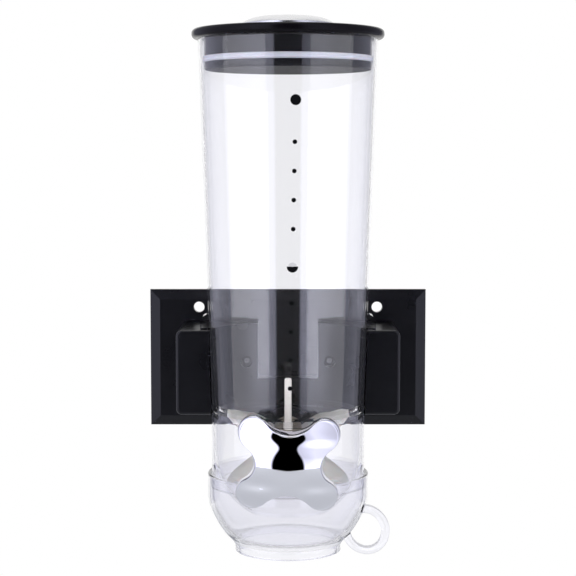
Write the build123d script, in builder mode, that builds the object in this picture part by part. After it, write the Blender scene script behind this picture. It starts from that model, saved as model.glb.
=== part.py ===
from build123d import *
import math
import os

# Wall-mounted cereal dispenser. Millimetres, +Z up, the front looks along -Y.
# The origin is midway between the two wall screw holes, on the back face of the wall plate.

# wall plate
plate_width = 180.0
plate_height = 89.3
plate_thickness = 5.0
plate_rim_thickness = 2.0
plate_bevel = 6.5
hole_spacing = 116.0
hole_diameter = 7.0
hole_drop = 11.4

# cradle
wing_width = 21.7
cradle_height = 52.7
cradle_drop = 20.8
cradle_corner = 3.6
cradle_edge = 1.6
cradle_wall = 3.0
saddle_clearance = 0.5
channel_width = 39.0
channel_height = 35.9
pocket_gap = 3.0

# cradle screws
screw_spacing = 53.6
screw_diameter = 3.5
screw_head_diameter = 7.0
screw_head_height = 2.2
screw_sink = 2.4
screw_bite = 3.6
screw_drop = 24.6
screw_clearance = 0.2
recess_length = 4.2
recess_width = 0.9
recess_depth = 1.3

# canister
canister_height = 228.0
canister_top_radius = 54.95
canister_foot_inset = 0.3
canister_wall = 2.0
canister_round = 0.8
canister_foot_round = 1.4
joint_below_cradle_top = 49.6
spigot_clearance = 0.1
spigot_gap = 0.4
funnel_height = 5.0
lug_stand = 5.67
lug_height = 9.7
lug_depth = 12.0
lug_setback = 3.2
lug_hook = 6.0
lug_round = 5.0
lug_clearance = 0.3

# dispensing housing
housing_radius = 47.3
housing_wall = 2.4
housing_rim_round = 4.0
housing_rim_inset = 1.4
skirt_wall = 2.0
skirt_depth = 45.7
bowl_wall = 2.0
outlet_radius = 26.0
shaft_below_joint = 23.0

# bearings and washers
barrel_radius = 7.0
bush_flange_radius = 10.0
bearing_flange_radius = 18.5
flange_depth = 4.9
bush_proud = 1.7
bearing_blind_depth = 4.5
running_clearance = 0.05
washer_radius = 8.0
washer_thickness = 0.8
washer_play = 0.1

# wheel
shaft_radius = 4.0
shaft_flat = 0.8
shaft_end_play = 0.5
hub_radius = 11.0
vane_clearance = 1.3
vane_setback = 0.4
vane_thickness = 2.6
vane_root_radius = 7.5
vane_pitch = 60.0
rod_radius = 2.2
rod_length = 43.1
rod_root = 2.0
rod_collar_radius = 3.0
rod_collar_height = 5.0

# knob
knob_depth = 17.5
knob_lobe_radius = 9.5
knob_lobe_across = 20.8
knob_lobe_up = 18.0
knob_side_valley = 20.3
knob_top_valley = 18.6
knob_turn = -2.1
knob_crown = 13.7
knob_edge = 1.4
knob_wall = 2.6
knob_boss_radius = 8.0
knob_hollow_depth = 8.5
grub_radius = 2.0
grub_setback = 3.4
grub_socket_radius = 1.0
grub_socket_depth = 1.6

# lid
lid_overhang = 3.75
lid_wall_gap = 1.3
lid_edge_height = 5.8
lid_crown = 2.2
lid_edge_round = 2.6
lid_plug_depth = 3.0
lid_plug_wall = 2.0
insert_clearance = 1.2
insert_lip = 1.7
insert_depth = 18.8
insert_wall = 1.5
insert_round = 1.6
gasket_rise = 4.6
gasket_height = 3.7
gasket_groove = 1.1
gasket_clearance = 0.3
lid_knob_radius = 28.6
lid_knob_height = 6.0
lid_knob_rim = 1.2
lid_knob_shoulder = 6.0
lid_screw_radius = 2.0
lid_screw_head_radius = 4.0
lid_screw_head_height = 2.4
lid_screw_bite = 3.6

# mug
mug_height = 48.6
mug_overlap = 7.3
mug_wall = 2.2
mug_clearance = 0.3
mug_step = 0.9
mug_belly_drop = 12.6
mug_taper = 16.8
mug_foot_wall = 3.0
mug_foot_height = 3.4
mug_floor_rise = 8.0
mug_heel = 4.0
mug_floor_thickness = 3.0
mug_rim_round = 0.9
handle_angle = -20.0
handle_standoff = 0.7
handle_rise = 16.0
handle_radius = 15.5
handle_thickness = 5.4

# heights and places worked out from the sizes above
plate_mid_z = hole_drop - plate_height / 2
lid_radius = canister_top_radius + lid_overhang
axis_depth = lid_radius + lid_wall_gap
canister_foot_radius = housing_radius - canister_foot_inset
cradle_top = hole_drop - cradle_drop
cradle_bottom = cradle_top - cradle_height
joint_z = cradle_top - joint_below_cradle_top
canister_top = joint_z + canister_height
axis_y = -axis_depth
cavity_radius = housing_radius - housing_wall
shaft_z = joint_z - shaft_below_joint
skirt_bottom = joint_z - skirt_depth
spigot_bottom = shaft_z + bearing_flange_radius + spigot_gap
spigot_radius = cavity_radius - spigot_clearance
spigot_bore = spigot_radius - canister_wall
screw_z = cradle_top - screw_drop
notch_floor = cradle_top - lug_hook
lug_front_y = axis_y + lug_setback
lug_mid_y = lug_front_y + lug_depth / 2
end_gap = washer_thickness + 2 * washer_play
hub_half_length = cavity_radius - flange_depth - end_gap
bearing_face = hub_half_length + end_gap
vane_radius = cavity_radius - vane_clearance
vane_half_length = hub_half_length - vane_setback

turn_plane = Plane(origin=(0, axis_y, 0), x_dir=(1, 0, 0), z_dir=(0, -1, 0))
upright_axis = Axis((0, axis_y, 0), (0, 0, 1))


def canister_radius(z):
    """Outer radius of the tapered canister at height z."""
    slope = (canister_top_radius - canister_foot_radius) / canister_height
    return canister_foot_radius + (z - joint_z) * slope


def shaft_plane(distance):
    """Plane square to the shaft, this far in front of the canister's axis, centred on the shaft."""
    return Plane(origin=(0, axis_y - distance, shaft_z), x_dir=(1, 0, 0), z_dir=(0, -1, 0))


def mirrored(x):
    """The two sides of the middle plane."""
    return (-x, x)


def wider_circles(part, radius):
    """The circular edges of a part that are wider than this radius."""
    return part.edges().filter_by(GeomType.CIRCLE).filter_by(lambda edge: edge.radius > radius)


os.makedirs("parts", exist_ok=True)

# Wall plate: a flat back, a thin rim and a border that slopes up to the face like a picture frame.
with BuildPart() as wall_plate:
    with BuildSketch(Plane.XZ):
        with Locations((0, plate_mid_z)):
            Rectangle(plate_width, plate_height)
    extrude(amount=plate_rim_thickness)
    with BuildSketch(Plane.XZ.offset(plate_rim_thickness)):
        with Locations((0, plate_mid_z)):
            Rectangle(plate_width, plate_height)
    with BuildSketch(Plane.XZ.offset(plate_thickness)):
        with Locations((0, plate_mid_z)):
            Rectangle(plate_width - 2 * plate_bevel, plate_height - 2 * plate_bevel)
    loft()
    with BuildSketch(Plane.XZ):
        with GridLocations(hole_spacing, 1, 2, 1):
            Circle(hole_diameter / 2)
    extrude(amount=plate_thickness, mode=Mode.SUBTRACT)
    with BuildSketch(Plane.XZ.offset(plate_thickness)):
        with Locations(*[(x, screw_z) for x in mirrored(screw_spacing / 2)]):
            Circle(screw_diameter / 2)
    extrude(amount=-screw_bite, mode=Mode.SUBTRACT)
wall_plate.part.label = "wall_plate"
export_step(wall_plate.part, "parts/wall_plate.step")

# Cradle: a rounded block, hollow behind its wings, with a conical saddle for the canister,
# an open channel down the middle of the saddle and a notch in each wing for the canister's lugs.
cradle_depth = axis_depth - plate_thickness
saddle_top_radius = canister_radius(cradle_top) + saddle_clearance
saddle_bottom_radius = housing_radius + saddle_clearance
cradle_width = 2 * (saddle_bottom_radius + wing_width)
head_inner_x = (screw_spacing - screw_head_diameter) / 2
saddle_at_head = axis_y + math.sqrt(saddle_top_radius**2 - head_inner_x**2)
screw_seat_y = saddle_at_head + screw_sink + screw_head_height
screw_seat_thickness = -plate_thickness - screw_seat_y
pocket_width = (cradle_width - 2 * cradle_wall - 2 * saddle_top_radius - 2 * pocket_gap) / 2
pocket_mid_x = saddle_top_radius + pocket_gap + pocket_width / 2
lug_reach = canister_radius(cradle_top) + lug_stand
notch_reach = lug_reach + lug_clearance
with BuildPart() as cradle:
    with BuildSketch(Plane.XZ.offset(plate_thickness)):
        with Locations((0, cradle_top - cradle_height / 2)):
            RectangleRounded(cradle_width, cradle_height, cradle_corner)
    extrude(amount=cradle_depth)
    front_face = cradle.faces().sort_by(Axis.Y)[0]
    fillet(front_face.edges(), radius=cradle_edge)
    with BuildSketch(Plane.XY.offset(cradle_bottom)):
        with Locations((0, axis_y)):
            Circle(saddle_bottom_radius)
    with BuildSketch(Plane.XY.offset(cradle_top)):
        with Locations((0, axis_y)):
            Circle(saddle_top_radius)
    loft(mode=Mode.SUBTRACT)
    with BuildSketch(Plane.XZ.offset(plate_thickness)):
        with Locations((0, cradle_top - channel_height / 2)):
            Rectangle(channel_width, channel_height)
        with Locations(*[(x, screw_z) for x in mirrored(screw_spacing / 2)]):
            Circle(screw_diameter / 2 + screw_clearance)
    extrude(amount=cradle_depth, mode=Mode.SUBTRACT)
    with BuildSketch(Plane.XZ.offset(-screw_seat_y)):
        with Locations(*[(x, screw_z) for x in mirrored(screw_spacing / 2)]):
            Circle(screw_head_diameter / 2 + screw_clearance)
    extrude(amount=cradle_depth, mode=Mode.SUBTRACT)
    with BuildSketch(Plane.XZ.offset(plate_thickness)):
        with Locations(*[(x, cradle_top - cradle_height / 2) for x in mirrored(pocket_mid_x)]):
            Rectangle(pocket_width, cradle_height - 2 * cradle_wall - 2 * lug_hook)
    extrude(amount=cradle_depth - cradle_wall, mode=Mode.SUBTRACT)
    with BuildSketch(Plane.XY.offset(notch_floor)):
        with Locations((0, lug_mid_y)):
            Rectangle(2 * notch_reach, lug_depth + 2 * lug_clearance)
    extrude(amount=lug_hook, mode=Mode.SUBTRACT)
cradle.part.label = "cradle"
export_step(cradle.part, "parts/cradle.step")

# Cradle screws: two pan heads sunk in the saddle, with cross recesses, that bite into the plate.
with BuildPart() as cradle_screws:
    with BuildSketch(Plane.XZ.offset(-screw_seat_y)):
        with Locations(*[(x, screw_z) for x in mirrored(screw_spacing / 2)]):
            Circle(screw_head_diameter / 2)
    extrude(amount=screw_head_height)
    head_rims = cradle_screws.faces().sort_by(Axis.Y)[:2].edges()
    fillet(head_rims, radius=screw_head_height / 3)
    with BuildSketch(Plane.XZ.offset(-screw_seat_y)):
        with Locations(*[(x, screw_z) for x in mirrored(screw_spacing / 2)]):
            Circle(screw_diameter / 2)
    extrude(amount=-(screw_seat_thickness + screw_bite))
    with BuildSketch(Plane.XZ.offset(-screw_seat_y + screw_head_height)):
        with Locations(*[(x, screw_z) for x in mirrored(screw_spacing / 2)]):
            Rectangle(recess_length, recess_width)
            Rectangle(recess_width, recess_length)
    extrude(amount=-recess_depth, mode=Mode.SUBTRACT)
cradle_screws.part.label = "cradle_screws"
export_step(cradle_screws.part, "parts/cradle_screws.step")

# Canister: a tapered tube whose wall ends in a narrower spigot, with a hooked lug on each side.
funnel_top = joint_z + funnel_height
with BuildPart() as canister:
    with BuildSketch(turn_plane):
        with BuildLine():
            Polyline(
                (0, spigot_bottom),
                (spigot_radius, spigot_bottom),
                (spigot_radius, joint_z),
                (canister_foot_radius, joint_z),
                (canister_top_radius, canister_top),
                (0, canister_top),
                close=True,
            )
        make_face()
    revolve(axis=upright_axis)
    foot_rim = wider_circles(canister, (spigot_radius + canister_foot_radius) / 2).sort_by(Axis.Z)[0]
    fillet(foot_rim, radius=canister_foot_round)
    lug_middle = (notch_floor + cradle_top + lug_height) / 2
    lug_full_height = lug_height + lug_hook
    with BuildSketch(Plane.XZ.offset(-lug_front_y)):
        with Locations((0, lug_middle)):
            RectangleRounded(2 * lug_reach, lug_full_height, lug_round)
        with Locations((0, lug_middle - lug_full_height / 4)):
            Rectangle(2 * lug_reach, lug_full_height / 2)
    extrude(amount=-lug_depth)
    with BuildSketch(turn_plane):
        with BuildLine():
            Polyline(
                (0, spigot_bottom),
                (spigot_bore, spigot_bottom),
                (spigot_bore, joint_z + canister_foot_round),
                (canister_radius(funnel_top) - canister_wall, funnel_top),
                (canister_top_radius - canister_wall, canister_top),
                (0, canister_top),
                close=True,
            )
        make_face()
    revolve(axis=upright_axis, mode=Mode.SUBTRACT)
    mouth_edges = canister.edges().filter_by(GeomType.CIRCLE).group_by(Axis.Z)[-1]
    fillet(mouth_edges, radius=canister_round)
canister.part.label = "canister"
export_step(canister.part, "parts/canister.step")

# Housing: a rounded rim that the canister's shoulder stands on, a straight outer skirt
# and, inside it, a round bowl with the outlet in its lowest part.
bowl_outer_radius = cavity_radius + bowl_wall
skirt_inner_radius = housing_radius - skirt_wall
rim_radius = housing_radius - housing_rim_inset
groove_angle = -math.degrees(math.acos(skirt_inner_radius / bowl_outer_radius))
lip_outer_angle = -math.degrees(math.acos(outlet_radius / bowl_outer_radius))
lip_inner_angle = -math.degrees(math.acos(outlet_radius / cavity_radius))
with BuildPart() as housing:
    with BuildSketch(turn_plane):
        with BuildLine():
            rim_top = (rim_radius, joint_z)
            rim_side = (housing_radius, joint_z - housing_rim_round)
            TangentArc(rim_side, rim_top, tangent=(0, 1))
            bowl_centre = (0, shaft_z)
            outside = CenterArc(bowl_centre, bowl_outer_radius, groove_angle, lip_outer_angle - groove_angle)
            inside = CenterArc(bowl_centre, cavity_radius, lip_inner_angle, -lip_inner_angle)
            skirt_edge = [(housing_radius, skirt_bottom), (skirt_inner_radius, skirt_bottom)]
            Polyline(rim_side, *skirt_edge, outside @ 0)
            Line(outside @ 1, inside @ 0)
            Polyline(inside @ 1, (cavity_radius, joint_z), rim_top)
        make_face()
    revolve(axis=upright_axis)
    with BuildSketch(shaft_plane(0)):
        Circle(barrel_radius)
    extrude(amount=housing_radius + 1, both=True, mode=Mode.SUBTRACT)
housing.part.label = "housing"
export_step(housing.part, "parts/housing.step")


# Half outline of the space inside the housing: a straight wall above and a quarter circle below.
with BuildSketch(turn_plane) as cavity:
    with BuildLine():
        quarter = CenterArc((0, shaft_z), cavity_radius, -90, 90)
        Polyline(quarter @ 1, (cavity_radius, joint_z), (0, joint_z), quarter @ 0)
    make_face()

# Front bush: a flange that hugs the housing's inner wall and a barrel out through the wall.
bush_end = housing_radius + bush_proud
with BuildPart() as front_bush:
    with BuildSketch(shaft_plane(bearing_face)):
        Circle(bush_flange_radius)
    extrude(amount=cavity_radius - bearing_face)
    revolve(cavity.sketch, axis=upright_axis, mode=Mode.INTERSECT)
    with BuildSketch(shaft_plane(bearing_face)):
        Circle(barrel_radius)
    extrude(amount=bush_end - bearing_face)
    with BuildSketch(shaft_plane(bearing_face)):
        Circle(shaft_radius + running_clearance)
    extrude(amount=bush_end - bearing_face, mode=Mode.SUBTRACT)
front_bush.part.label = "front_bush"
export_step(front_bush.part, "parts/front_bush.step")

# Rear bearing: the same, but larger, blind, and flush with the back of the housing.
bearing_end = math.sqrt(housing_radius**2 - barrel_radius**2)
with BuildPart() as rear_bearing:
    with BuildSketch(shaft_plane(-bearing_face)):
        Circle(bearing_flange_radius)
    extrude(amount=bearing_face - cavity_radius)
    revolve(cavity.sketch, axis=upright_axis, mode=Mode.INTERSECT)
    with BuildSketch(shaft_plane(-bearing_face)):
        Circle(barrel_radius)
    extrude(amount=bearing_face - bearing_end)
    with BuildSketch(shaft_plane(-bearing_face)):
        Circle(shaft_radius + running_clearance)
    extrude(amount=-bearing_blind_depth, mode=Mode.SUBTRACT)
rear_bearing.part.label = "rear_bearing"
export_step(rear_bearing.part, "parts/rear_bearing.step")

# Shaft: one round bar from the blind bearing to the knob, with a flat at the knob's end.
knob_back = bush_end + end_gap
knob_boss_depth = knob_depth - knob_wall
shaft_front = knob_back + knob_boss_depth - shaft_end_play
shaft_rear = bearing_face + bearing_blind_depth - shaft_end_play
with BuildPart() as shaft:
    with BuildSketch(shaft_plane(-shaft_rear)):
        Circle(shaft_radius)
    extrude(amount=shaft_rear + shaft_front)
    with BuildSketch(shaft_plane(knob_back)):
        with Locations((0, shaft_radius - shaft_flat / 2)):
            Rectangle(2 * shaft_radius, shaft_flat)
    extrude(amount=knob_boss_depth, mode=Mode.SUBTRACT)
    with BuildSketch(Plane(origin=(0, axis_y, shaft_z + rod_root))):
        Circle(rod_radius)
    extrude(amount=shaft_radius, mode=Mode.SUBTRACT)
    chamfer(shaft.faces().sort_by(Axis.Y)[-1].edges(), length=shaft_end_play)
shaft.part.label = "shaft"
export_step(shaft.part, "parts/shaft.step")

# Wheel hub: a sleeve on the shaft with a keyway for each vane and a hole for the rod.
vane_angles = [side + lift * vane_pitch / 2 for side in (180, 360) for lift in (-1, 1)]


def vane_plane(angle):
    """Plane through the shaft's axis that holds a vane: local X runs outward, local Y along the shaft."""
    turn = math.radians(angle)
    return Plane(
        origin=(0, axis_y, shaft_z),
        x_dir=(math.cos(turn), 0, math.sin(turn)),
        z_dir=(-math.sin(turn), 0, math.cos(turn)),
    )


with BuildPart() as wheel_hub:
    with BuildSketch(shaft_plane(-hub_half_length)):
        Circle(hub_radius)
        Circle(shaft_radius, mode=Mode.SUBTRACT)
    extrude(amount=2 * hub_half_length)
    for angle in vane_angles:
        with BuildSketch(vane_plane(angle)):
            with Locations((vane_root_radius + hub_radius / 2, 0)):
                Rectangle(hub_radius, 2 * hub_half_length)
        extrude(amount=vane_thickness / 2, both=True, mode=Mode.SUBTRACT)
    with BuildSketch(Plane(origin=(0, axis_y, shaft_z))):
        Circle(rod_radius)
    extrude(amount=hub_radius, mode=Mode.SUBTRACT)
wheel_hub.part.label = "wheel_hub"
export_step(wheel_hub.part, "parts/wheel_hub.step")

# Vanes: soft half-round blades that sweep the bowl, one in each keyway.
for number, angle in enumerate(vane_angles, start=1):
    with BuildPart() as vane:
        with BuildSketch(vane_plane(angle)):
            Circle(vane_radius)
            with Locations((vane_root_radius + vane_radius / 2, 0)):
                Rectangle(vane_radius, 2 * vane_half_length, mode=Mode.INTERSECT)
        extrude(amount=vane_thickness / 2, both=True)
    vane.part.label = f"vane_{number}"
    export_step(vane.part, f"parts/vane_{number}.step")

# Agitator rod: pushed through the hub into the shaft, with a thicker collar at its foot.
with BuildPart() as agitator_rod:
    with BuildSketch(Plane(origin=(0, axis_y, shaft_z + rod_root))):
        Circle(rod_radius)
    extrude(amount=rod_length - rod_root)
    fillet(agitator_rod.faces().sort_by(Axis.Z)[-1].edges(), radius=rod_radius * 0.6)
    with BuildSketch(Plane(origin=(0, axis_y, shaft_z + hub_radius))):
        Circle(rod_collar_radius)
    extrude(amount=rod_collar_height)
    collar_rim = wider_circles(agitator_rod, (rod_radius + rod_collar_radius) / 2).sort_by(Axis.Z)[-1]
    chamfer(collar_rim, length=(rod_collar_radius - rod_radius) / 2)
agitator_rod.part.label = "agitator_rod"
export_step(agitator_rod.part, "parts/agitator_rod.step")

# Thrust washers: one at each end of the hub and one between the front bush and the knob.
washer_starts = {
    "rear_washer": -bearing_face + washer_play,
    "inner_washer": hub_half_length + washer_play,
    "outer_washer": bush_end + washer_play,
}
for washer_name, start in washer_starts.items():
    with BuildPart() as washer:
        with BuildSketch(shaft_plane(start)):
            Circle(washer_radius)
            Circle(shaft_radius + running_clearance, mode=Mode.SUBTRACT)
        extrude(amount=washer_thickness)
    washer.part.label = washer_name
    export_step(washer.part, f"parts/{washer_name}.step")

# Knob: four round lobes joined by hollow flanks, with a crowned front, a hollow back and a boss
# that fits the flat of the shaft. The lobes stand a little wider than high.
knob_reach = math.hypot(knob_lobe_across, knob_lobe_up) + knob_lobe_radius
crown_radius = (knob_reach**2 + knob_crown**2) / (2 * knob_crown)
grub_y = axis_y - knob_back - grub_setback


def flank_distance(along, across, valley):
    """How far out a circle is centred that touches two lobes from outside and ends at the valley."""
    waist = valley - knob_lobe_radius
    return (along**2 + across**2 - waist**2) / (2 * (along - waist))


side_flank = flank_distance(knob_lobe_across, knob_lobe_up, knob_side_valley)
top_flank = flank_distance(knob_lobe_up, knob_lobe_across, knob_top_valley)


def knob_outline(inset):
    """The four-lobed outline, drawn in by the inset all round."""
    with BuildSketch() as outline:
        with BuildLine():
            corners = []
            for across, up in ((1, 1), (-1, 1), (-1, -1), (1, -1)):
                lobe = (across * knob_lobe_across, up * knob_lobe_up)
                side = (across * side_flank, 0)
                top = (0, up * top_flank)
                corners += [side if across == up else top, lobe]
            Polyline(*corners, close=True)
        make_face()
        with Locations((side_flank, 0), (-side_flank, 0)):
            Circle(side_flank - knob_side_valley + inset, mode=Mode.SUBTRACT)
        with Locations((0, top_flank), (0, -top_flank)):
            Circle(top_flank - knob_top_valley + inset, mode=Mode.SUBTRACT)
        with GridLocations(2 * knob_lobe_across, 2 * knob_lobe_up, 2, 2):
            Circle(knob_lobe_radius - inset)
    return outline.sketch.rotate(Axis.Z, knob_turn)


crown_centre = shaft_plane(knob_back + knob_depth - crown_radius)
with BuildPart() as knob_hollow:
    with BuildSketch(shaft_plane(knob_back)):
        add(knob_outline(knob_wall))
    extrude(amount=knob_hollow_depth)
    with Locations(crown_centre):
        Sphere(crown_radius - knob_wall, mode=Mode.INTERSECT)
    with BuildSketch(shaft_plane(knob_back)):
        Circle(knob_boss_radius)
    extrude(amount=knob_hollow_depth, mode=Mode.SUBTRACT)

with BuildPart() as knob:
    with BuildSketch(shaft_plane(knob_back)):
        add(knob_outline(0))
    extrude(amount=knob_depth)
    with Locations(crown_centre):
        Sphere(crown_radius, mode=Mode.INTERSECT)
    crown_face = knob.faces().filter_by(GeomType.SPHERE)
    fillet(crown_face.edges(), radius=knob_edge)
    add(knob_hollow.part, mode=Mode.SUBTRACT)
    with BuildSketch(shaft_plane(knob_back)):
        Circle(shaft_radius)
        with Locations((0, shaft_radius - shaft_flat / 2)):
            Rectangle(2 * shaft_radius, shaft_flat, mode=Mode.SUBTRACT)
    extrude(amount=knob_boss_depth, mode=Mode.SUBTRACT)
    with BuildSketch(Plane(origin=(0, grub_y, shaft_z))):
        Circle(grub_radius)
    extrude(amount=knob_boss_radius, mode=Mode.SUBTRACT)
knob.part.label = "knob"
export_step(knob.part, "parts/knob.step")

# Grub screw: runs through the boss and stands on the flat of the shaft, with a hex socket.
grub_length = knob_boss_radius - (shaft_radius - shaft_flat)
with BuildPart() as knob_grub_screw:
    with BuildSketch(Plane(origin=(0, grub_y, shaft_z + shaft_radius - shaft_flat))):
        Circle(grub_radius)
    extrude(amount=grub_length)
    with BuildSketch(Plane(origin=(0, grub_y, shaft_z + knob_boss_radius))):
        RegularPolygon(grub_socket_radius, 6)
    extrude(amount=-grub_socket_depth, mode=Mode.SUBTRACT)
knob_grub_screw.part.label = "knob_grub_screw"
export_step(knob_grub_screw.part, "parts/knob_grub_screw.step")

# Lid cap: a crowned disc with a rounded edge that lies on the canister's mouth, and a short ring
# below it that the insert snaps over.
lid_edge_top = canister_top + lid_edge_height
lid_top = lid_edge_top + lid_crown
lid_crown_radius = (lid_radius**2 + lid_crown**2) / (2 * lid_crown)
insert_bottom = canister_top - insert_depth
insert_radius = canister_radius(insert_bottom) - canister_wall - insert_clearance
lid_plug_radius = insert_radius - insert_lip
with BuildPart() as lid_cap:
    with BuildSketch(Plane(origin=(0, axis_y, canister_top))):
        Circle(lid_radius)
    extrude(amount=lid_edge_height + lid_crown)
    with Locations((0, axis_y, lid_top - lid_crown_radius)):
        Sphere(lid_crown_radius, mode=Mode.INTERSECT)
    fillet(wider_circles(lid_cap, lid_radius / 2), radius=lid_edge_round)
    with BuildSketch(Plane(origin=(0, axis_y, canister_top))):
        Circle(lid_plug_radius)
        Circle(lid_plug_radius - lid_plug_wall, mode=Mode.SUBTRACT)
    extrude(amount=-lid_plug_depth)
    with BuildSketch(Plane(origin=(0, axis_y, canister_top))):
        Circle(lid_screw_radius)
    extrude(amount=lid_edge_height + lid_crown, mode=Mode.SUBTRACT)
lid_cap.part.label = "lid_cap"
export_step(lid_cap.part, "parts/lid_cap.step")

# Lid insert: a cup with a closed floor that plugs the canister, grooved for the gasket.
gasket_low = insert_bottom + gasket_rise
groove_radius = insert_radius - gasket_groove
with BuildPart() as lid_insert:
    with BuildSketch(Plane(origin=(0, axis_y, insert_bottom))):
        Circle(insert_radius)
    extrude(amount=insert_depth)
    fillet(lid_insert.faces().sort_by(Axis.Z)[0].edges(), radius=insert_round)
    with BuildSketch(Plane(origin=(0, axis_y, gasket_low))):
        Circle(insert_radius + gasket_groove)
        Circle(groove_radius, mode=Mode.SUBTRACT)
    extrude(amount=gasket_height, mode=Mode.SUBTRACT)
    with BuildSketch(Plane(origin=(0, axis_y, canister_top))):
        Circle(lid_plug_radius)
    extrude(amount=-lid_plug_depth, mode=Mode.SUBTRACT)
    with BuildSketch(Plane(origin=(0, axis_y, canister_top))):
        Circle(groove_radius - insert_wall)
    extrude(amount=-(insert_depth - insert_wall), mode=Mode.SUBTRACT)
lid_insert.part.label = "lid_insert"
export_step(lid_insert.part, "parts/lid_insert.step")

# Lid gasket: a soft ring in the groove, just clear of the canister's wall.
gasket_radius = canister_radius(gasket_low) - canister_wall - gasket_clearance
with BuildPart() as lid_gasket:
    with BuildSketch(Plane(origin=(0, axis_y, gasket_low))):
        Circle(gasket_radius)
        Circle(groove_radius, mode=Mode.SUBTRACT)
    extrude(amount=gasket_height)
    gasket_rims = wider_circles(lid_gasket, (groove_radius + gasket_radius) / 2)
    fillet(gasket_rims, radius=(gasket_radius - insert_radius) / 2)
lid_gasket.part.label = "lid_gasket"
export_step(lid_gasket.part, "parts/lid_gasket.step")

# Lid knob: a low dome that falls off round its shoulder to a thin rim, its seat cut to the lid's crown.
knob_top = lid_top + lid_knob_height
with BuildPart() as lid_knob:
    with BuildSketch(turn_plane):
        with BuildLine():
            rim_edge = (lid_knob_radius, lid_top + lid_knob_rim)
            dome_shoulder = (lid_knob_radius - lid_knob_shoulder, knob_top)
            Bezier(rim_edge, dome_shoulder, (lid_knob_radius / 2, knob_top), (0, knob_top))
            Polyline((0, knob_top), (0, lid_edge_top), (lid_knob_radius, lid_edge_top), rim_edge)
        make_face()
    revolve(axis=upright_axis)
    with Locations((0, axis_y, lid_top - lid_crown_radius)):
        Sphere(lid_crown_radius, mode=Mode.SUBTRACT)
    with BuildSketch(Plane(origin=(0, axis_y, lid_edge_top))):
        Circle(lid_screw_radius)
    extrude(amount=lid_crown + lid_screw_bite, mode=Mode.SUBTRACT)
lid_knob.part.label = "lid_knob"
export_step(lid_knob.part, "parts/lid_knob.step")

# Lid knob screw: comes up through the cap from inside the insert.
with BuildPart() as lid_knob_screw:
    with BuildSketch(Plane(origin=(0, axis_y, canister_top))):
        Circle(lid_screw_head_radius)
    extrude(amount=-lid_screw_head_height)
    fillet(lid_knob_screw.faces().sort_by(Axis.Z)[0].edges(), radius=lid_screw_head_height / 3)
    with BuildSketch(Plane(origin=(0, axis_y, canister_top))):
        Circle(lid_screw_radius)
    extrude(amount=lid_edge_height + lid_crown + lid_screw_bite)
    with BuildSketch(Plane(origin=(0, axis_y, canister_top - lid_screw_head_height))):
        Rectangle(recess_length, recess_width)
        Rectangle(recess_width, recess_length)
    extrude(amount=recess_depth, mode=Mode.SUBTRACT)
lid_knob_screw.part.label = "lid_knob_screw"
export_step(lid_knob_screw.part, "parts/lid_knob_screw.step")

# Mug: straight at the rim, where a step inside stops it against the skirt, then drawn in to a foot
# ring, with a ring handle turned a little to the front.
mug_rim_z = skirt_bottom + mug_overlap
mug_bottom = mug_rim_z - mug_height
mug_bore_radius = housing_radius + mug_clearance
mug_rim_radius = mug_bore_radius + mug_wall
mug_foot_radius = mug_rim_radius - mug_taper
mug_floor_radius = mug_foot_radius - mug_heel
handle_distance = mug_rim_radius + handle_standoff
mug_step_z = skirt_bottom - mug_clearance
belly_top = mug_rim_z - mug_belly_drop
foot_top = mug_bottom + mug_foot_height
floor_top = mug_bottom + mug_floor_rise
inner_radius = mug_bore_radius - mug_step
handle_turn = math.radians(handle_angle)
handle_plane = Plane(
    origin=(
        handle_distance * math.cos(handle_turn),
        axis_y + handle_distance * math.sin(handle_turn),
        mug_bottom + handle_rise,
    ),
    x_dir=(math.cos(handle_turn), math.sin(handle_turn), 0),
    z_dir=(math.sin(handle_turn), -math.cos(handle_turn), 0),
)


def belly_point(top, bottom, inward, down):
    """A point between two (radius, height) points, at these shares of the way inward and down."""
    return (top[0] + (bottom[0] - top[0]) * inward, top[1] + (bottom[1] - top[1]) * down)


outer_top = (mug_rim_radius, belly_top)
outer_low = (mug_foot_radius, foot_top)
inner_top = (inner_radius, belly_top)
inner_low = (mug_floor_radius, floor_top)
with BuildPart() as mug:
    with BuildSketch(turn_plane):
        with BuildLine():
            Polyline((0, mug_bottom), (0, mug_rim_z), (mug_rim_radius, mug_rim_z), outer_top)
            Spline(
                outer_top,
                belly_point(outer_top, outer_low, 0.25, 0.46),
                belly_point(outer_top, outer_low, 0.70, 0.80),
                outer_low,
                tangents=[(0, -1), (-0.4, -1)],
            )
            Polyline(outer_low, (mug_foot_radius, mug_bottom), (0, mug_bottom))
        make_face()
    revolve(axis=upright_axis)
    with Locations(handle_plane):
        Torus(handle_radius - handle_thickness / 2, handle_thickness / 2)
    with BuildSketch(turn_plane):
        with BuildLine():
            Polyline(
                (0, floor_top),
                (0, mug_rim_z),
                (mug_bore_radius, mug_rim_z),
                (mug_bore_radius, mug_step_z),
                (inner_radius, mug_step_z),
                inner_top,
            )
            Spline(
                inner_top,
                belly_point(inner_top, inner_low, 0.20, 0.46),
                belly_point(inner_top, inner_low, 0.55, 0.80),
                inner_low,
                tangents=[(0, -1), (-1, -0.35)],
            )
            Line(inner_low, (0, floor_top))
        make_face()
    revolve(axis=upright_axis, mode=Mode.SUBTRACT)
    with BuildSketch(Plane(origin=(0, axis_y, mug_bottom))):
        Circle(mug_foot_radius - mug_foot_wall)
    extrude(amount=mug_floor_rise - mug_floor_thickness, mode=Mode.SUBTRACT)
    fillet(mug.edges().filter_by(GeomType.CIRCLE).group_by(Axis.Z)[-1], radius=mug_rim_round)
mug.part.label = "mug"
export_step(mug.part, "parts/mug.step")
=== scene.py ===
import math

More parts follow.
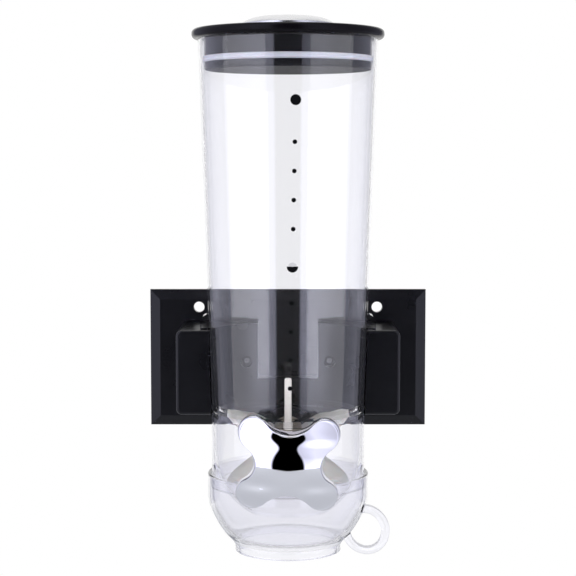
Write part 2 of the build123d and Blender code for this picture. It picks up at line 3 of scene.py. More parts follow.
import bmesh
import bpy
import numpy as np
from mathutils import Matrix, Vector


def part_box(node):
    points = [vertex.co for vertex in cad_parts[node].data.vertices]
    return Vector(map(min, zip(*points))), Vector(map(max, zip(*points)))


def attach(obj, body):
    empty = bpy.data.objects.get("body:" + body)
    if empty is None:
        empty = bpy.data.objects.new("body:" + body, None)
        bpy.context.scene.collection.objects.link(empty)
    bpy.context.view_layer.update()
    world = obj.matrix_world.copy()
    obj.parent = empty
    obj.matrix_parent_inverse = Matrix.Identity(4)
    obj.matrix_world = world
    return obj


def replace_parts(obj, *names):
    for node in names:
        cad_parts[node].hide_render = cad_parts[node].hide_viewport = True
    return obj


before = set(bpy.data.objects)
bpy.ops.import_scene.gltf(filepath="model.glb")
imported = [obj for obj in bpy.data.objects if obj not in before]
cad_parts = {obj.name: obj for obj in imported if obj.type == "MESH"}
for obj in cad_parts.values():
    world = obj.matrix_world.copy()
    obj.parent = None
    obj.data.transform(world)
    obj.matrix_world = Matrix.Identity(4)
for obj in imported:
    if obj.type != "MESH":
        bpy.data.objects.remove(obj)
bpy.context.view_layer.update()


# Wall plate and cradle: black plastic mouldings, satin from the mould, with a fine grain. Two wall
# screws go through the plate's round holes. Two blackened pan heads hold the cradle to the plate,
# each with a lighter disc in the middle that is a painted highlight.
class Value:
    """A shader socket used as a number: arithmetic on it adds the Math nodes that it needs."""

    def __init__(self, shading, socket):
        self.shading = shading
        self.socket = socket

    def __add__(self, other):
        return self.shading.maths("ADD", self, other)

    def __sub__(self, other):
        return self.shading.maths("SUBTRACT", self, other)

    def __rsub__(self, other):
        return self.shading.maths("SUBTRACT", other, self)

    def __mul__(self, other):
        return self.shading.maths("MULTIPLY", self, other)

    __radd__ = __add__
    __rmul__ = __mul__


class Shading:
    """The shader nodes of a material or of the world."""

    def __init__(self, owner):
        owner.use_nodes = True
        self.tree = owner.node_tree

    def put(self, node, sockets):
        """Fill a node's sockets: plain numbers and colours are set on them, Values are linked."""
        for key, value in sockets.items():
            if isinstance(value, Value):
                self.tree.links.new(value.socket, node.inputs[key])
            else:
                node.inputs[key].default_value = value

    def node(self, kind, settings, sockets, output=0):
        """Add a node: its settings first, then the values or links of its sockets.

        A colour ramp starts with a black stop at 0 and a white one at 1. The stops that are given
        come after the black one, and the white one goes.
        """
        made = self.tree.nodes.new(kind)
        for key, value in settings.items():
            if key == "stops":
                for position, colour in value:
                    made.color_ramp.elements.new(position).color = colour
                made.color_ramp.elements.remove(made.color_ramp.elements[-1])
            else:
                setattr(made, key, value)
        self.put(made, sockets)
        return Value(self, made.outputs[output])

    def maths(self, operation, first, second=0.0):
        """A Math node on two numbers or Values. Some operations read only the first."""
        return self.node("ShaderNodeMath", {"operation": operation}, {0: first, 1: second})

    def blend(self, share, first, second):
        """A colour part of the way from the first to the second."""
        mix = {"data_type": "RGBA"}
        return self.node("ShaderNodeMix", mix, {0: share, 6: first, 7: second}, 2)


class Finish(Shading):
    """A material with one Principled shader, which takes these values on its sockets."""

    def __init__(self, name, sockets):
        self.name = name
        self.material = bpy.data.materials.new(name)
        super().__init__(self.material)
        self.shader = self.tree.nodes["Principled BSDF"]
        self.put(self.shader, sockets)

    def place(self, stretch=(1, 1, 1)):
        """Where a point of the surface is on the object, in metres, stretched along each axis."""
        point = self.node("ShaderNodeTexCoord", {}, {}, "Object")
        return self.node("ShaderNodeMapping", {}, {"Vector": point, "Scale": stretch})

    def along(self, axis):
        """How far along this axis of the object a point of the surface is, in metres."""
        return self.node("ShaderNodeSeparateXYZ", {}, {0: self.place()}, axis)

    def noise(self, scale, detail=2.0, stretch=(1, 1, 1)):
        """Soft random value from 0 to 1, with this many cells to the metre."""
        sockets = {"Vector": self.place(stretch), "Scale": scale, "Detail": detail}
        return self.node("ShaderNodeTexNoise", {}, sockets)

    def colour(self, share, first, second):
        """Paint the surface with a blend of two colours, by a share from 0 to 1."""
        self.put(self.shader, {"Base Color": self.blend(share, first, second)})

    def roughness(self, value):
        """Make the surface this rough, from 0 for a mirror to 1 for chalk."""
        self.put(self.shader, {"Roughness": value})

    def relief(self, height, depth):
        """Make the surface look raised by a height from 0 to 1, times this depth in metres."""
        bump = {"Height": height, "Distance": depth, "Strength": 1.0}
        self.put(self.shader, {"Normal": self.node("ShaderNodeBump", {}, bump)})

    def cover(self, *nodes):
        """Give these parts of the frame this finish."""
        for name in nodes:
            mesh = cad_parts[name].data
            mesh.materials.clear()
            mesh.materials.append(self.material)


grain_depth = 0.00003
bracket_black = Finish("bracket_black", {"Specular IOR Level": 0.36})
grain = bracket_black.noise(1400.0)
bracket_black.colour(grain, (0.0025, 0.0025, 0.004, 1), (0.0045, 0.0045, 0.0065, 1))
bracket_black.roughness(0.24 + 0.10 * bracket_black.noise(60.0))
bracket_black.relief(grain, grain_depth)
bracket_black.cover("wall_plate", "cradle")

screws_low, screws_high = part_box("cradle_screws")
screw_head_radius = 0.0035
screw_painted_highlight_radius = 0.0018
screw_black = Finish("screw_black", {"Specular IOR Level": 0.16})
beside = screw_black.maths("ABSOLUTE", screw_black.along("X")) - (screws_high.x - screw_head_radius)
above = screw_black.along("Z") - (screws_low.z + screws_high.z) / 2
off_axis = screw_black.maths("SQRT", beside * beside + above * above)
# Painted highlight: a lighter disc of colour in the middle of each black screw head.
painted_highlight = screw_black.maths("LESS_THAN", off_axis, screw_painted_highlight_radius)
screw_black.colour(painted_highlight, (0.006, 0.006, 0.008, 1), (0.20, 0.20, 0.22, 1))
screw_black.roughness(0.35 + 0.1 * screw_black.noise(900.0))
screw_black.cover("cradle_screws")


# Canister and housing: water-clear moulded plastic, polished inside and out, a little uneven from
# the mould. The canister stands on the housing's rim, with its spigot inside.
mould_ripple = 0.00035
clear_plastic = Finish("clear_plastic", {
    "Transmission Weight": 0.997,
    "IOR": 1.03,
    "Base Color": (0.975, 0.975, 0.992, 1),
    "Coat IOR": 1.45,
    "Coat Roughness": 0.03,
})
clear_plastic.roughness(0.01 + 0.04 * clear_plastic.noise(25.0))
clear_plastic.relief(clear_plastic.noise(18.0, 1.0, (1, 1, 0.3)), mould_ripple)
clear_plastic.cover("canister")

# Where the saddle hugs the canister's back, the wall loses its gloss. It keeps it in the open
# channel down the middle of the saddle.
channel_half_width = 0.0195
channel_height = 0.0359
contact_top = 0.0033
cradle_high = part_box("cradle")[1]
canister_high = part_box("canister")[1]
housing_low, housing_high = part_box("housing")
axis_y = (housing_low.y + housing_high.y) / 2
wall_x, wall_y, wall_z = (clear_plastic.along(axis) for axis in "XYZ")
at_back = clear_plastic.maths("GREATER_THAN", wall_y, axis_y)
below_top = clear_plastic.maths("LESS_THAN", wall_z, cradle_high.z + contact_top)
below_channel = clear_plastic.maths("LESS_THAN", wall_z, cradle_high.z - channel_height)
off_middle = clear_plastic.maths("ABSOLUTE", wall_x)
beside_channel = clear_plastic.maths("GREATER_THAN", off_middle, channel_half_width)
held = at_back * below_top * clear_plastic.maths("MAXIMUM", below_channel, beside_channel)
clear_plastic.put(clear_plastic.shader, {"Coat Weight": 1 - held})

housing_plastic = Finish("housing_plastic", {
    "Transmission Weight": 1.0,
    "IOR": 1.02,
    "Base Color": (0.965, 0.965, 0.985, 1),
    "Coat Weight": 1.0,
    "Coat IOR": 1.4,
    "Coat Roughness": 0.05,
})
housing_plastic.roughness(0.03 + 0.06 * housing_plastic.noise(40.0))
housing_plastic.relief(housing_plastic.noise(22.0, 1.0), mould_ripple)
housing_plastic.cover("housing")


# Level marks: dots printed in black ink in a leaning row up the canister's front. A large dot marks
# full, a half-filled one marks half, and four small ones stand below each.
weld_distance = 0.0000005


def grid_piece(name, points, body, finish, wraps=False, crease=38):
    """Make a piece over a grid of points with axes (ring, step, xyz).

    Each ring is closed; rings join the next, and the last joins the first where it wraps. Points
    that coincide, as at a pole, are merged, and the sign of the volume turns the faces outwards.
    Edges that bend by more than the crease, in degrees, stay sharp.
    """
    rings, steps = points.shape[:2]
    index = np.arange(rings * steps).reshape(rings, steps)
    here = index if wraps else index[:-1]
    ahead = np.roll(index, -1, axis=0) if wraps else index[1:]
    quads = [here, np.roll(here, -1, axis=1), np.roll(ahead, -1, axis=1), ahead]
    quads = np.stack(quads, axis=-1).reshape(-1, 4)
    flat = points.reshape(-1, 3)
    a, b, c, d = (flat[quads[:, k]] - flat.mean(axis=0) for k in range(4))
    volume = (np.cross(a, b) * c).sum() + (np.cross(a, c) * d).sum()
    if volume < 0:
        quads = quads[:, ::-1]
    mesh = bpy.data.meshes.new(name)
    mesh.from_pydata(flat.tolist(), [], quads.tolist())
    work = bmesh.new()
    work.from_mesh(mesh)
    bmesh.ops.remove_doubles(work, verts=work.verts, dist=weld_distance)
    work.to_mesh(mesh)
    work.free()
    mesh.polygons.foreach_set("use_smooth", np.ones(len(mesh.polygons), dtype=bool))
    mesh.set_sharp_from_angle(angle=math.radians(crease))
    mesh.materials.append(finish.material)
    piece = bpy.data.objects.new(name, mesh)
    bpy.context.scene.collection.objects.link(piece)
    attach(piece, body)
    return piece


mark_ink = Finish("mark_ink", {"Specular IOR Level": 0.1})
mark_ink.colour(mark_ink.noise(2500.0), (0.001, 0.001, 0.0015, 1), (0.003, 0.003, 0.004, 1))
mark_ink.roughness(0.4 + 0.2 * mark_ink.noise(900.0))

pale_ink = Finish("pale_ink", {"Specular IOR Level": 0.1})
pale_ink.colour(pale_ink.noise(2500.0), (0.52, 0.52, 0.54, 1), (0.60, 0.60, 0.62, 1))
pale_ink.roughness(0.4 + 0.2 * pale_ink.noise(900.0))

joint_z = housing_high.z
canister_top = canister_high.z
canister_foot_radius = 0.0470
canister_top_radius = 0.05495
mark_full_z = 0.1307
mark_full_gap = 0.0242
mark_half_z = 0.0336
mark_half_gap = 0.0214
mark_step = 0.0169
mark_full_diameter = 0.0063
mark_half_diameter = 0.0066
mark_half_fill = (175.0, 365.0)
mark_half_crown = (15.0, 165.0)
mark_half_crown_share = 0.8
mark_small_diameter = 0.0027
mark_small_count = 4
mark_steps = 48
mark_lean = 0.0193
mark_foot_x = 0.0012
mark_foot_z = -0.0385
ink_lift = 0.00006
ink_thickness = 0.00004


def printed_dot(name, z, diameter, turns=(0.0, 360.0), ink=mark_ink):
    """A dot printed on the canister's front at height z, or its part between two turns in degrees.

    A point at distance s from its middle in the direction t is wrapped round the cone: its height
    is z + s sin t, and its turn round the axis is (x + s cos t) over the cone's radius there. The
    rings run from the middle to the rim on the outer face and back to the middle on the inner one.
    """
    direction = np.radians(np.linspace(*turns, mark_steps))
    shares = np.array([0, 0.5, 1, 1, 0.5, 0])[:, None]
    lift = np.array([1, 1, 1, 0, 0, 0])[:, None] * ink_thickness + ink_lift
    middle_x = mark_foot_x + mark_lean * (z - mark_foot_z)
    across = middle_x + shares * diameter / 2 * np.cos(direction)
    height = z + shares * diameter / 2 * np.sin(direction)
    taper = (canister_top_radius - canister_foot_radius) / (canister_top - joint_z)
    radius = canister_foot_radius + (height - joint_z) * taper + lift
    round_turn = across / radius
    x, y = radius * np.sin(round_turn), axis_y - radius * np.cos(round_turn)
    return grid_piece(name, np.stack([x, y, height], axis=-1), "canister_unit", ink)


printed_dot("mark_full", mark_full_z, mark_full_diameter)
printed_dot("mark_half", mark_half_z, mark_half_diameter, mark_half_fill)
half_crown_diameter = mark_half_diameter * mark_half_crown_share
printed_dot("mark_half_top", mark_half_z, half_crown_diameter, mark_half_crown, pale_ink)
for number in range(mark_small_count):
    upper_z = mark_full_z - mark_full_gap - number * mark_step
    lower_z = mark_half_z - mark_half_gap - number * mark_step
    printed_dot(f"mark_upper_{number + 1}", upper_z, mark_small_diameter)
    printed_dot(f"mark_lower_{number + 1}", lower_z, mark_small_diameter)


# Bearings: a white bush in front and a black one at the back, both of slippery plastic, pressed
# into the housing's walls. White washers take the end thrust.
bush_white = Finish("bush_white", {})
bush_white.colour(bush_white.noise(300.0), (0.80, 0.80, 0.78, 1), (0.85, 0.85, 0.83, 1))
bush_white.roughness(0.4 + 0.1 * bush_white.noise(120.0))
bush_white.cover("front_bush")

washer_white = Finish("washer_white", {})
washer_white.colour(washer_white.noise(600.0), (0.80, 0.80, 0.79, 1), (0.86, 0.86, 0.85, 1))
washer_white.roughness(0.3 + 0.1 * washer_white.noise(200.0))
washer_white.cover("rear_washer", "inner_washer", "outer_washer")

bearing_black = Finish("bearing_black", {"Specular IOR Level": 0.2})
bearing_black.colour(
    bearing_black.noise(300.0), (0.008, 0.008, 0.011, 1), (0.014, 0.014, 0.018, 1))
bearing_black.roughness(0.35 + 0.15 * bearing_black.noise(200.0))
bearing_black.cover("rear_bearing")


# Shaft: a turned steel bar that runs in both bearings and carries the hub. The knob's steel set
# screw presses on a flat at its front end.
shaft_steel = Finish("shaft_steel", {"Metallic": 1.0, "Base Color": (0.6, 0.61, 0.62, 1)})
shaft_steel.roughness(0.22 + 0.16 * shaft_steel.noise(1200.0, 2.0, (1, 0.05, 1)))
shaft_steel.cover("shaft")

screw_steel = Finish("screw_steel", {"Metallic": 1.0, "Base Color": (0.56, 0.57, 0.58, 1)})
screw_steel.roughness(0.25 + 0.2 * screw_steel.noise(900.0))
screw_steel.cover("knob_grub_screw", "lid_knob_screw")


# Wheel hub: a cream sleeve, moulded, with a keyway for each blade and a hole for the thin rod.
# The off-white rod stands in it and stirs the cereal above.
hub_cream = Finish("hub_cream", {})
hub_cream.colour(hub_cream.noise(220.0), (0.24, 0.21, 0.17, 1), (0.34, 0.30, 0.24, 1))
hub_cream.roughness(0.45 + 0.1 * hub_cream.noise(150.0))
hub_cream.cover("wheel_hub")

rod_white = Finish("rod_white", {})
rod_white.colour(rod_white.noise(400.0), (0.60, 0.58, 0.56, 1), (0.70, 0.68, 0.65, 1))
rod_white.roughness(0.32 + 0.1 * rod_white.noise(300.0))
rod_white.cover("agitator_rod")


# Blades: four half-round leaves of soft cream silicone, matt with a soft bloom, rounded round their
# edges and a little bowed. Each is pushed into its keyway in the hub.
vane_silicone = Finish("vane_silicone", {"Subsurface Weight": 0.2, "Subsurface Scale": 0.003})
vane_silicone.colour(vane_silicone.noise(90.0, 4.0), (0.46, 0.455, 0.43, 1), (0.58, 0.57, 0.54, 1))
vane_silicone.roughness(0.5 + 0.15 * vane_silicone.noise(250.0))
vane_silicone.relief(vane_silicone.noise(1500.0), grain_depth)

vane_low, vane_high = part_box("vane_1")
shaft_drop = 0.023
shaft_z = joint_z - shaft_drop
vane_reach = 0.0436
vane_root = 0.0075
vane_thickness = 0.0026
vane_half_length = (vane_high.y - vane_low.y) / 2
vane_bow = 0.0007
vane_bow_span = 0.08
vane_turns = [150, 210, 330, 390]
vane_steps = 160
vane_first_step = 0.001
vane_edge_rings = 13


def blade(name, turn):
    """A half-round leaf that stands out from the shaft's axis at this turn, in degrees.

    Its outline, seen from a point halfway out, is the nearest of a circle round the shaft's axis,
    the root's straight line and the two end lines. Rings are that outline drawn in: flat inside,
    and along a half circle as wide as the leaf is thick round the edge. The bow grows with the
    square of the distance from the root, and along the shaft it follows a sine, up at one end and
    down at the other.
    """
    around = np.linspace(0, 2 * np.pi, vane_steps, endpoint=False) + vane_first_step
    middle = (vane_root + vane_reach) / 2
    c, s = np.cos(around), np.sin(around)
    to_circle = -middle * c + np.sqrt(vane_reach**2 - (middle * s)**2)
    to_root = np.where(c < 0, (vane_root - middle) / np.minimum(c, -1e-6), np.inf)
    to_end = vane_half_length / np.maximum(np.abs(s), 1e-6)
    outline = np.minimum(np.minimum(to_circle, to_root), to_end)
    half = vane_thickness / 2
    edge = np.radians(np.linspace(90, -90, vane_edge_rings))
    inside = np.array([0, 0.25, 0.5, 0.75, 0.92])
    face = np.full(len(inside), half)
    drawn = np.concatenate([
        inside[:, None] * (outline - half),
        outline - half * (1 - np.cos(edge))[:, None],
        inside[::-1, None] * (outline - half),
    ])
    height = np.concatenate([face, half * np.sin(edge), -face])[:, None]
    outward = middle + drawn * c
    along = drawn * s
    bow = vane_bow * ((outward - vane_root) / vane_reach)**2
    height = height + bow * np.sin(np.pi * along / vane_bow_span)
    angle = math.radians(turn)
    points = np.stack([
        outward * math.cos(angle) - height * math.sin(angle),
        axis_y + along,
        shaft_z + outward * math.sin(angle) + height * math.cos(angle),
    ], axis=-1)
    return grid_piece(name, points, "wheel", vane_silicone)


for number, turn in enumerate(vane_turns, start=1):
    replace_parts(blade(f"blade_{number}", turn), f"vane_{number}")


# Knob: a four-lobed handle, pillow-shaped in front and hollow behind, bright chrome plate over a
# moulding. Its boss slides on the shaft, where a set screw on the flat holds it.
chrome_plate = Finish("chrome_plate", {"Metallic": 1.0, "Base Color": (0.89, 0.885, 0.905, 1)})
chrome_plate.roughness(0.02 + 0.04 * chrome_plate.noise(70.0))
chrome_plate.relief(chrome_plate.noise(120.0, 1.0), grain_depth)

knob_low, knob_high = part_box("knob")
lobe_radius = 0.0095
lobe_across = 0.0208
lobe_up = 0.0180
side_valley = 0.0203
top_valley = 0.0186
knob_turn = math.radians(-2.1)
knob_rim_depth = 0.0030
knob_rim_chamfer = 0.0006
knob_rim_inset = 0.0004
knob_wall = 0.0026
knob_hollow_depth = 0.0085
knob_boss_radius = 0.0080
knob_bore_radius = 0.0041
knob_bore_depth = 0.0149
knob_crown_radius = 0.050
knob_shoulder = 0.0018
knob_pinch = 12.0
knob_pinch_height = 0.0110
knob_flare = 14.0
knob_flare_height = 0.0175
knob_bend_width = 0.0035
knob_waist = 8.0
knob_waist_width = 0.0055
knob_fold_reach = 0.016
knob_outline_steps = 320
knob_search_steps = 20001
knob_crown_rings = 48
knob_shoulder_rings = 15
knob_hollow_rings = 9


def flank_distance(along, across, valley):
    """How far out the circle is centred that touches two lobes outside and ends at the valley."""
    waist = valley - lobe_radius
    return (along**2 + across**2 - waist**2) / (2 * (along - waist))


def lobed_outline(steps):
    """Angles and distances of the knob's outline, spread evenly along it.

    Folded into one quarter, a ray from the middle meets the circle of the side flank, of the lobe
    or of the top flank. They change over where the circles touch, on the line between their
    centres.
    """
    around = np.linspace(0, 2 * np.pi, knob_search_steps)
    folded = np.abs((around + np.pi) % (2 * np.pi) - np.pi)
    folded = np.minimum(folded, np.pi - folded)
    side = flank_distance(lobe_across, lobe_up, side_valley)
    top = flank_distance(lobe_up, lobe_across, top_valley)
    reach = math.hypot(lobe_across, lobe_up)
    lobe_angle = math.atan2(lobe_up, lobe_across)
    side_share = lobe_radius / math.hypot(side - lobe_across, lobe_up)
    top_share = lobe_radius / math.hypot(top - lobe_up, lobe_across)
    first = math.atan2(
        lobe_up * (1 - side_share), lobe_across + (side - lobe_across) * side_share)
    last = math.atan2(lobe_up + (top - lobe_up) * top_share, lobe_across * (1 - top_share))
    off = folded - lobe_angle
    lobe_chord = lobe_radius**2 - (reach * np.sin(off))**2
    side_chord = (side - side_valley)**2 - (side * np.sin(folded))**2
    top_chord = (top - top_valley)**2 - (top * np.cos(folded))**2
    on_lobe = reach * np.cos(off) + np.sqrt(np.maximum(lobe_chord, 0))
    on_side = side * np.cos(folded) - np.sqrt(np.maximum(side_chord, 0))
    on_top = top * np.sin(folded) - np.sqrt(np.maximum(top_chord, 0))
    distance = np.select([folded < first, folded > last], [on_side, on_top], on_lobe)
    x, z = distance * np.cos(around), distance * np.sin(around)
    travelled = np.concatenate([[0], np.cumsum(np.hypot(np.diff(x), np.diff(z)))])
    even = np.linspace(0, travelled[-1], steps, endpoint=False)
    angle = np.interp(even, travelled, around)
    return angle, np.interp(angle, around, distance)


def crown_height(distance, angle):
    """How high the knob's front stands over its rim at this distance and angle from its middle.

    A crown falls off with the square of the distance. Near the upright middle line, bell curves of
    the height make it bend across more strongly where it is pinched and less where it is flared
    and at the waist.
    """
    x, z = distance * np.cos(angle), np.abs(distance * np.sin(angle))
    bend = knob_pinch * np.exp(-((z - knob_pinch_height) / knob_bend_width)**2)
    bend = bend - knob_flare * np.exp(-((z - knob_flare_height) / knob_bend_width)**2)
    bend = bend - knob_waist * np.exp(-(z / knob_waist_width)**2)
    top = knob_high.y - knob_low.y - knob_rim_depth
    fold = bend * x**2 / 2 * np.exp(-(x / knob_fold_reach)**2)
    return top - distance**2 / (2 * knob_crown_radius) - fold


def lobed_knob():
    """The knob's whole skin as rings round its middle.

    In front, the shoulder is a quarter of an ellipse from the crown down to the rim. Behind come
    the rim, the hollow, whose floor keeps a wall under the crown, the boss and its bore.
    """
    angle, outline = lobed_outline(knob_outline_steps)
    inner = outline - knob_wall
    flat = np.ones_like(outline)
    edge = outline - knob_shoulder
    radii = [share * edge for share in np.linspace(0, 1, knob_crown_rings)]
    heights = [knob_rim_depth + crown_height(ring, angle) for ring in radii]
    first = 90 / knob_shoulder_rings
    for fall in np.radians(np.linspace(first, 90, knob_shoulder_rings)):
        radii.append(outline - knob_shoulder * (1 - math.sin(fall)))
        heights.append(knob_rim_depth + crown_height(edge, angle) * math.cos(fall))
    radii += [outline, outline - knob_rim_inset, inner]
    heights += [flat * knob_rim_chamfer, flat * 0, flat * 0]
    for share in np.linspace(1, 0, knob_hollow_rings):
        ring = knob_boss_radius + (inner - knob_boss_radius) * share
        floor = knob_rim_depth + crown_height(ring, angle) - knob_wall
        radii.append(ring)
        heights.append(np.minimum(floor, knob_hollow_depth))
    radii += [flat * knob_boss_radius, flat * knob_bore_radius, flat * knob_bore_radius, flat * 0]
    heights += [flat * 0, flat * 0, flat * knob_bore_depth, flat * knob_bore_depth]
    radii = np.stack(radii)
    heights = np.stack(heights)
    turned = angle + knob_turn
    x, z = radii * np.cos(turned), shaft_z + radii * np.sin(turned)
    points = np.stack([x, knob_high.y - heights, z], axis=-1)
    return grid_piece("lobed_knob", points, "wheel", chrome_plate)


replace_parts(lobed_knob(), "knob")


# Lid: black gloss plastic, a crowned cap over a deep plug. Its low knob on top is satin chrome and
# held by a screw from inside.
satin_chrome = Finish("satin_chrome", {"Metallic": 1.0, "Base Color": (0.80, 0.80, 0.81, 1)})
satin_chrome.roughness(0.24 + 0.06 * satin_chrome.noise(90.0))
satin_chrome.cover("lid_knob")

lid_black = Finish("lid_black", {"Specular IOR Level": 0.12})
lid_black.colour(lid_black.noise(500.0), (0.0025, 0.002, 0.0035, 1), (0.004, 0.0035, 0.005, 1))
lid_black.roughness(0.16 + 0.08 * lid_black.noise(80.0))
lid_black.cover("lid_cap")

# The plug's underside is rough from the mould, and its wall is polished.
underside_depth = 0.0004
insert_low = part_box("lid_insert")[0]
insert_black = Finish("insert_black", {"Specular IOR Level": 0.14})
insert_black.colour(insert_black.noise(500.0), (0.004, 0.004, 0.006, 1), (0.007, 0.007, 0.010, 1))
underside = insert_black.maths("LESS_THAN", insert_black.along("Z"), insert_low.z + underside_depth)
insert_black.roughness(0.08 + 0.06 * insert_black.noise(60.0) + 0.5 * underside)
insert_black.cover("lid_insert")


# Gasket: a soft pale silicone ring, stretched into the groove round the plug. Its two lips press
# on the canister's wall.
gasket_white = Finish("gasket_white", {"Subsurface Weight": 0.2, "Subsurface Scale": 0.002})
gasket_white.colour(gasket_white.noise(150.0), (0.42, 0.43, 0.51, 1), (0.50, 0.51, 0.59, 1))
gasket_white.roughness(0.42 + 0.1 * gasket_white.noise(400.0))

gasket_low, gasket_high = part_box("lid_gasket")
gasket_depth = 0.0019
gasket_lip = 0.0004
gasket_corner = 0.45
gasket_section_steps = 72
gasket_steps = 288


def lipped_ring():
    """A ring whose section is a rounded box with two lips outside.

    Round the section the radius follows the cosine of the turn and the height its sine, each
    raised to a power below 1, which squares the corners. Outside, a wave along the height takes
    the lips' depth away at the middle and at the two edges, and leaves the lips in between.
    """
    outer = (gasket_high.x - gasket_low.x) / 2
    section = np.linspace(0, 2 * np.pi, gasket_section_steps, endpoint=False)[:, None]
    around = np.linspace(0, 2 * np.pi, gasket_steps, endpoint=False)
    across = np.sign(np.cos(section)) * np.abs(np.cos(section))**gasket_corner
    up = np.sign(np.sin(section)) * np.abs(np.sin(section))**gasket_corner
    lips = np.where(across > 0, gasket_lip * (1 - np.sin(np.pi * up)**2), 0)
    radius = outer - gasket_depth / 2 * (1 - across) - lips
    height = (gasket_low.z + gasket_high.z) / 2 + (gasket_high.z - gasket_low.z) / 2 * up
    height = height + 0 * around
    x, y = radius * np.sin(around), axis_y - radius * np.cos(around)
    points = np.stack([x, y, height], axis=-1)
    return grid_piece("lipped_gasket", points, "lid", gasket_white, wraps=True)


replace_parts(lipped_ring(), "lid_gasket")


# Mug: water-clear moulded plastic with a thicker foot and a ring handle. It is pushed up over the
# housing's skirt and pulled down to pour.
mug_plastic = Finish("mug_plastic", {
    "Transmission Weight": 1.0,
    "IOR": 1.10,
    "Base Color": (0.925, 0.925, 0.965, 1),
    "Coat Weight": 1.0,
    "Coat IOR": 1.45,
    "Coat Roughness": 0.08,
})
mug_plastic.roughness(0.05 + 0.08 * mug_plastic.noise(40.0))
mug_plastic.relief(mug_plastic.noise(22.0, 1.0), mould_ripple)
mug_plastic.cover("mug")


# Floor: a pale sheet under the object that takes its shadow. Seen by the camera or through clear
# plastic it fades to pure white away from the object.
floor_z = -0.35
floor_front = -1.05
floor_back = 0.55
floor_half_width = 1.6
floor_fade_from = 0.45
floor_fade_to = 0.85


def stage_mesh(name, points, faces):
    """A sheet of the stage over these points and faces."""
    mesh = bpy.data.meshes.new(name)
    mesh.from_pydata(points, [], faces)
    made = bpy.data.objects.new(name, mesh)
    bpy.context.scene.collection.objects.link(made)
    return made


floor = stage_mesh("floor", [
    (-floor_half_width, floor_front, floor_z),
    (floor_half_width, floor_front, floor_z),
    (floor_half_width, floor_back, floor_z),
    (-floor_half_width, floor_back, floor_z),
], [(0, 1, 2, 3)])
floor_pale = Finish("floor_pale", {"Roughness": 0.9, "Specular IOR Level": 0.0})
by_camera = floor_pale.node("ShaderNodeLightPath", {}, {}, "Is Camera Ray")
through_clear = floor_pale.node("ShaderNodeLightPath", {}, {}, "Is Transmission Ray")
seen = by_camera + through_clear
floor_x, floor_y = floor_pale.along("X"), floor_pale.along("Y") - axis_y
away = floor_pale.maths("SQRT", floor_x * floor_x + floor_y * floor_y)
fade = {"Value": away, "From Min": floor_fade_from, "From Max": floor_fade_to}
smooth = {"interpolation_type": "SMOOTHSTEP"}
faded = seen * floor_pale.node("ShaderNodeMapRange", smooth, fade)
pale = floor_pale.blend(seen, (0.62, 0.64, 0.70, 1), (0.92, 0.92, 0.93, 1))
floor_pale.put(floor_pale.shader, {
    "Base Color": floor_pale.blend(faded, pale, (0, 0, 0, 1)),
    "Emission Color": floor_pale.blend(faded, (0, 0, 0, 1), (1, 1, 1, 1)),
    "Emission Strength": 1.0,
})
floor.data.materials.append(floor_pale.material)


# Curved screen: a glowing sheet round the front that only reflections show. It is black behind the
# camera, with a broad soft light on either side that fades towards the back. The right one is
# dimmer higher up.
screen_radius = 1.30
screen_reach = math.radians(150)
screen_low = -0.50
screen_high = 6.0
screen_strength = 2.0
screen_tint = (0.97, 0.98, 1.22)
screen_dim_right = 0.6
screen_dim_from = -0.25
screen_dim_to = 0.15
screen_steps = 120
screen_levels = [
    (16.5, 0.0), (19, 0.6), (27, 0.68), (36, 0.83), (46, 0.78), (57, 0.63),
    (68, 0.5), (80, 0.4), (93, 0.36), (108, 0.35), (127, 0.3), (150, 0.12),
]


def curved_screen():
    """Part of a cylinder round the object's axis: turn t stands at radius times (sin t, -cos t)."""
    turn = np.linspace(-screen_reach, screen_reach, screen_steps + 1)[None, :]
    height = np.array([screen_low, screen_high])[:, None]
    across = screen_radius * np.sin(turn) + 0 * height
    forward = axis_y - screen_radius * np.cos(turn) + 0 * height
    points = np.stack([across, forward, height + 0 * turn], axis=-1).reshape(-1, 3)
    low = np.arange(screen_steps)
    high = low + screen_steps + 1
    quads = np.stack([low, low + 1, high + 1, high], axis=-1)
    return stage_mesh("curved_screen", points.tolist(), quads.tolist())


screen = curved_screen()
screen_light = Finish("screen_light", {
    "Base Color": (0, 0, 0, 1),
    "Roughness": 1.0,
    "Specular IOR Level": 0.0,
    "Emission Strength": screen_strength,
})
sideways = screen_light.along("X")
forwards = axis_y - screen_light.along("Y")
azimuth = screen_light.maths("ABSOLUTE", screen_light.maths("ARCTAN2", sideways, forwards))
screen_stops = [
    (degrees / 180, (*(level * share for share in screen_tint), 1))
    for degrees, level in screen_levels
]
glow = screen_light.node(
    "ShaderNodeValToRGB", {"stops": screen_stops}, {"Fac": azimuth * (1 / math.pi)})
dim = screen_light.node("ShaderNodeMapRange", {}, {
    "Value": screen_light.along("Z"),
    "From Min": screen_dim_from,
    "From Max": screen_dim_to,
    "To Min": 1.0,
    "To Max": screen_dim_right,
})
at_right = screen_light.maths("GREATER_THAN", sideways, 0.0)
screen_light.put(screen_light.shader, {
    "Emission Color": screen_light.blend(at_right * (1 - dim), glow, (0, 0, 0, 1)),
})

# It glows only for a ray that a glossy surface has sent, and is clear for all others.
gloss_depth = screen_light.node("ShaderNodeLightPath", {}, {}, "Glossy Depth")
in_gloss = screen_light.maths("GREATER_THAN", gloss_depth, 0.5)
clear = screen_light.node("ShaderNodeBsdfTransparent", {}, {})
glowing = Value(screen_light, screen_light.shader.outputs[0])
screen_light.put(screen_light.tree.nodes["Material Output"], {
    "Surface": screen_light.node("ShaderNodeMixShader", {}, {0: in_gloss, 1: clear, 2: glowing}),
})
screen.data.materials.append(screen_light.material)
screen.visible_camera = False
screen.visible_diffuse = False
screen.visible_shadow = False


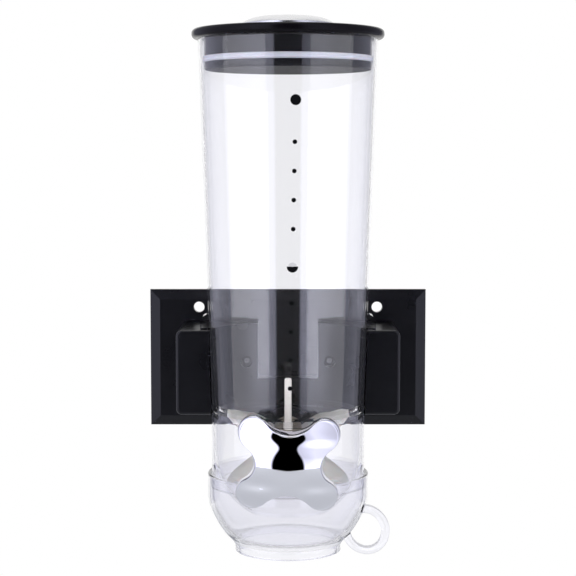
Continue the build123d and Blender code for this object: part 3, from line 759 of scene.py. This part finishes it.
# Soft boxes: two tall area lights on the floor that face the object from the front's sides. Neither
# the camera nor a reflection shows them.
soft_box_distance = 1.1
soft_box_angle = math.radians(61)
soft_box_width = 2.04
soft_box_height = 1.65
soft_box_radiance = 1.7
for side in (-1, 1):
    soft_light = bpy.data.lights.new("soft_box", "AREA")
    soft_light.shape = "RECTANGLE"
    soft_light.size = soft_box_width
    soft_light.size_y = soft_box_height
    soft_light.energy = soft_box_radiance * math.pi * soft_box_width * soft_box_height
    soft_box = bpy.data.objects.new("soft_box", soft_light)
    bpy.context.scene.collection.objects.link(soft_box)
    soft_box.location = (
        side * soft_box_distance * math.sin(soft_box_angle),
        axis_y - soft_box_distance * math.cos(soft_box_angle),
        floor_z + soft_box_height / 2,
    )
    soft_box.rotation_euler = (math.radians(90), 0, side * soft_box_angle)
    soft_box.visible_camera = False
    soft_box.visible_glossy = False


# World: white where the camera sees it, straight, mirrored or through clear plastic. As a light on
# the object it is weaker.
world_fill = 0.35
world = bpy.data.worlds.new("studio")
bpy.context.scene.world = world
sky = Shading(world)
straight = sky.node("ShaderNodeLightPath", {}, {}, "Is Camera Ray")
through = sky.node("ShaderNodeLightPath", {}, {}, "Is Transmission Ray")
mirrored = sky.node("ShaderNodeLightPath", {}, {}, "Is Glossy Ray")
shown = sky.maths("MAXIMUM", sky.maths("MAXIMUM", straight, through), mirrored)
brightness = {"Value": shown, "To Min": world_fill, "To Max": 1.0}
sky.put(sky.tree.nodes["Background"], {
    "Color": (1, 1, 1, 1),
    "Strength": sky.node("ShaderNodeMapRange", {}, brightness),
})


# Camera: straight in front of the object and a little above it, on a long lens, as the photograph
# was taken.
camera_depth = 0.9792
camera_pitch = math.radians(4.8)
camera_target_z = 0.01706
camera_sensor = 36.0
camera_lens = 99.19
lens = bpy.data.cameras.new("camera")
lens.sensor_width = camera_sensor
lens.lens = camera_lens
camera = bpy.data.objects.new("camera", lens)
bpy.context.scene.collection.objects.link(camera)
camera.location = (
    0,
    axis_y - camera_depth * math.cos(camera_pitch),
    camera_target_z + camera_depth * math.sin(camera_pitch),
)
camera.rotation_euler = (math.radians(90) - camera_pitch, 0, 0)
bpy.context.scene.camera = camera
bpy.context.scene.view_settings.view_transform = "Standard"
